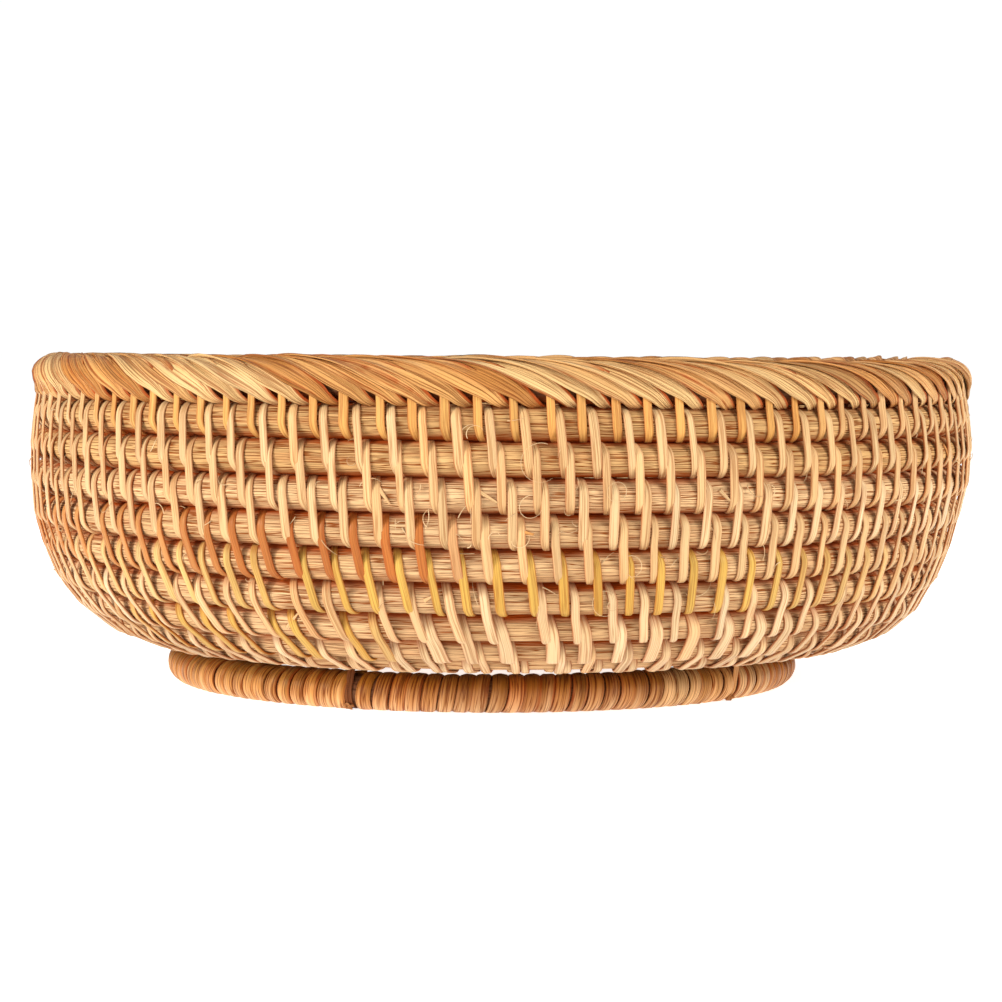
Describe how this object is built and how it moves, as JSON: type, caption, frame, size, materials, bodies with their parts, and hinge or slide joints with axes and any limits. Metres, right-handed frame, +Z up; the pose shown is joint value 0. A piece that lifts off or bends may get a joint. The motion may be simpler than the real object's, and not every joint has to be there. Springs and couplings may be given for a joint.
{
  "type": "winnowing basket",
  "caption": "Round coiled-cane basket: a shallow stitched bowl with a wrapped rim and a bound foot ring lashed under its flat base.",
  "frame": {"origin": "on the floor under the centre of the bowl", "axes": "+Z up out of the bowl's mouth; -Y is the front, +X to the right of the front"},
  "size_m": [0.24, 0.24, 0.0827],
  "materials": {
    "pith_rod": "bare split rattan core, fine fibres along its length, matt",
    "pale_splint": "pale scraped cane peel, smooth with a slight sheen",
    "golden_splint": "golden cane peel, smooth with a slight sheen",
    "brown_splint": "reddish brown cane peel, smooth with a slight sheen",
    "rim_peel": "wide grooved cane peel in mixed tans and browns, worn and satin",
    "foot_peel": "caramel brown cane peel, satin, rubbed pale underneath",
    "core_rod": "dark unpeeled cane, matt",
    "dark_tie": "dark cane lashing, matt"
  },
  "bodies": {
    "root": {"base_start": "pith_rod", "coil_row_01": "pith_rod", "coil_row_02": "pith_rod", "coil_row_03": "pith_rod", "coil_row_04": "pith_rod", "coil_row_05": "pith_rod", "coil_row_06": "pith_rod", "coil_row_07": "pith_rod", "coil_row_08": "pith_rod", "coil_row_09": "pith_rod", "coil_row_10": "pith_rod", "coil_row_11": "pith_rod", "coil_row_12": "pith_rod", "coil_row_13": "pith_rod", "coil_row_14": "pith_rod", "coil_row_15": "pith_rod", "coil_row_16": "pith_rod", "coil_row_17": "pith_rod", "coil_row_18": "pith_rod", "coil_row_19": "pith_rod", "foot_binding": "foot_peel", "foot_core": "core_rod", "foot_ties": "dark_tie", "rim_core": "core_rod", "rim_strips": "rim_peel", "stitches_row_00": "golden_splint", "stitches_row_01": "pale_splint", "stitches_row_02": "pale_splint", "stitches_row_03": "pale_splint", "stitches_row_04": "brown_splint", "stitches_row_05": "golden_splint", "stitches_row_06": "pale_splint", "stitches_row_07": "pale_splint", "stitches_row_08": "pale_splint", "stitches_row_09": "pale_splint", "stitches_row_10": "pale_splint", "stitches_row_11": "pale_splint", "stitches_row_12": "pale_splint", "stitches_row_13": "pale_splint", "stitches_row_14": "pale_splint", "stitches_row_15": "pale_splint", "stitches_row_16": "pale_splint", "stitches_row_17": "pale_splint", "stitches_row_18": "pale_splint", "stitches_start": "pale_splint"}
  },
  "joints": []
}
